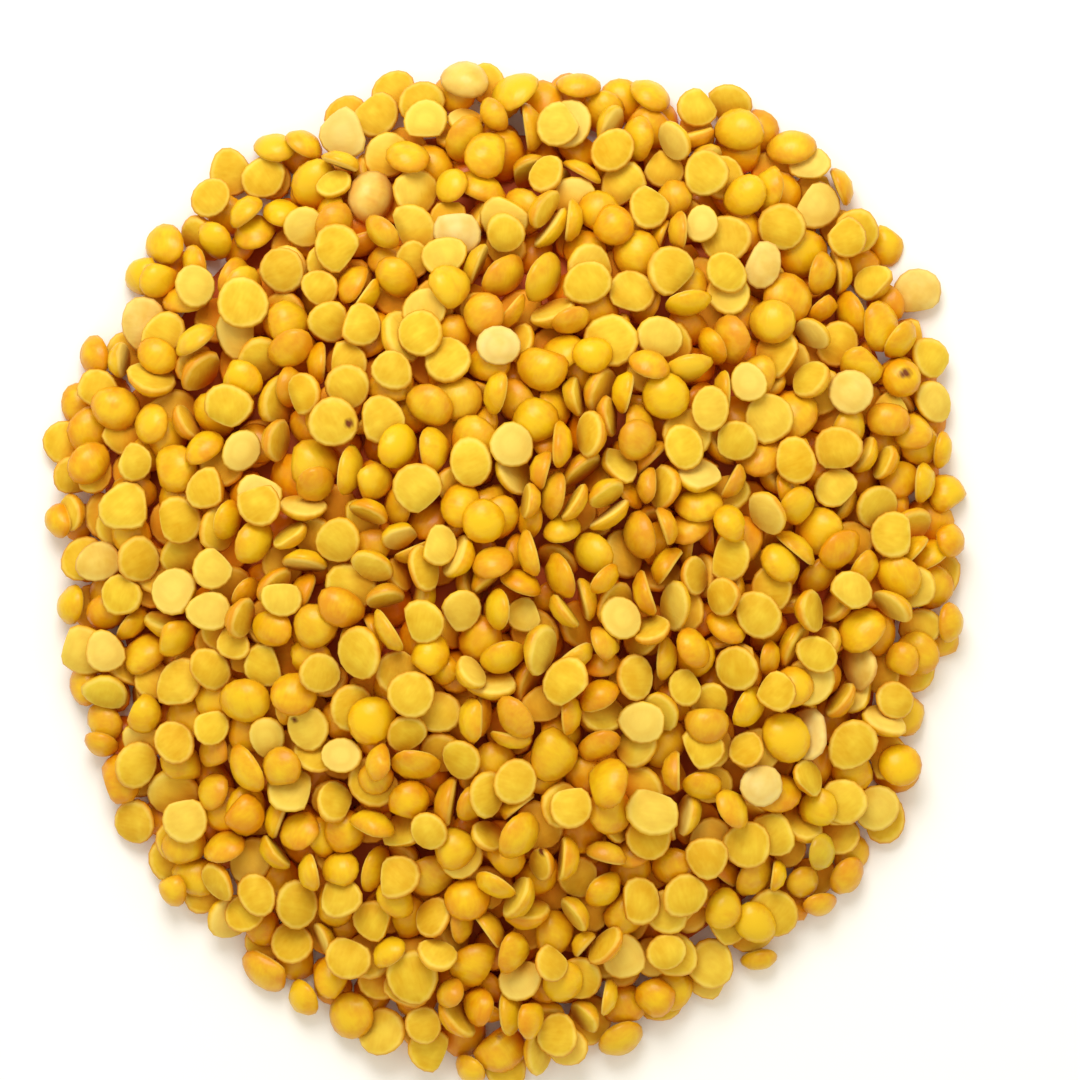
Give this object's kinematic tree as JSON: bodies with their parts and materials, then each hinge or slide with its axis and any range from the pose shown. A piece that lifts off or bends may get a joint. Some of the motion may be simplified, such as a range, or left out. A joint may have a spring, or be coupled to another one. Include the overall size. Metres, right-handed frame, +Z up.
{
  "type": "heap of split yellow peas",
  "caption": "Loose heap of dry split pigeon peas with an uneven outline, low and rounded, resting on a flat underside.",
  "frame": {"origin": "middle of the flat underside, on the surface that the heap lies on", "axes": "+Z up through the heap, +Y along its longest width and towards the top of the picture, +X to the right"},
  "size_m": [0.1083, 0.121, 0.0201],
  "materials": {
    "split_peas": "dry and waxy on the round side, matte and floury on the split face"
  },
  "bodies": {
    "root": {"lentil_heap": "split_peas"}
  },
  "joints": []
}
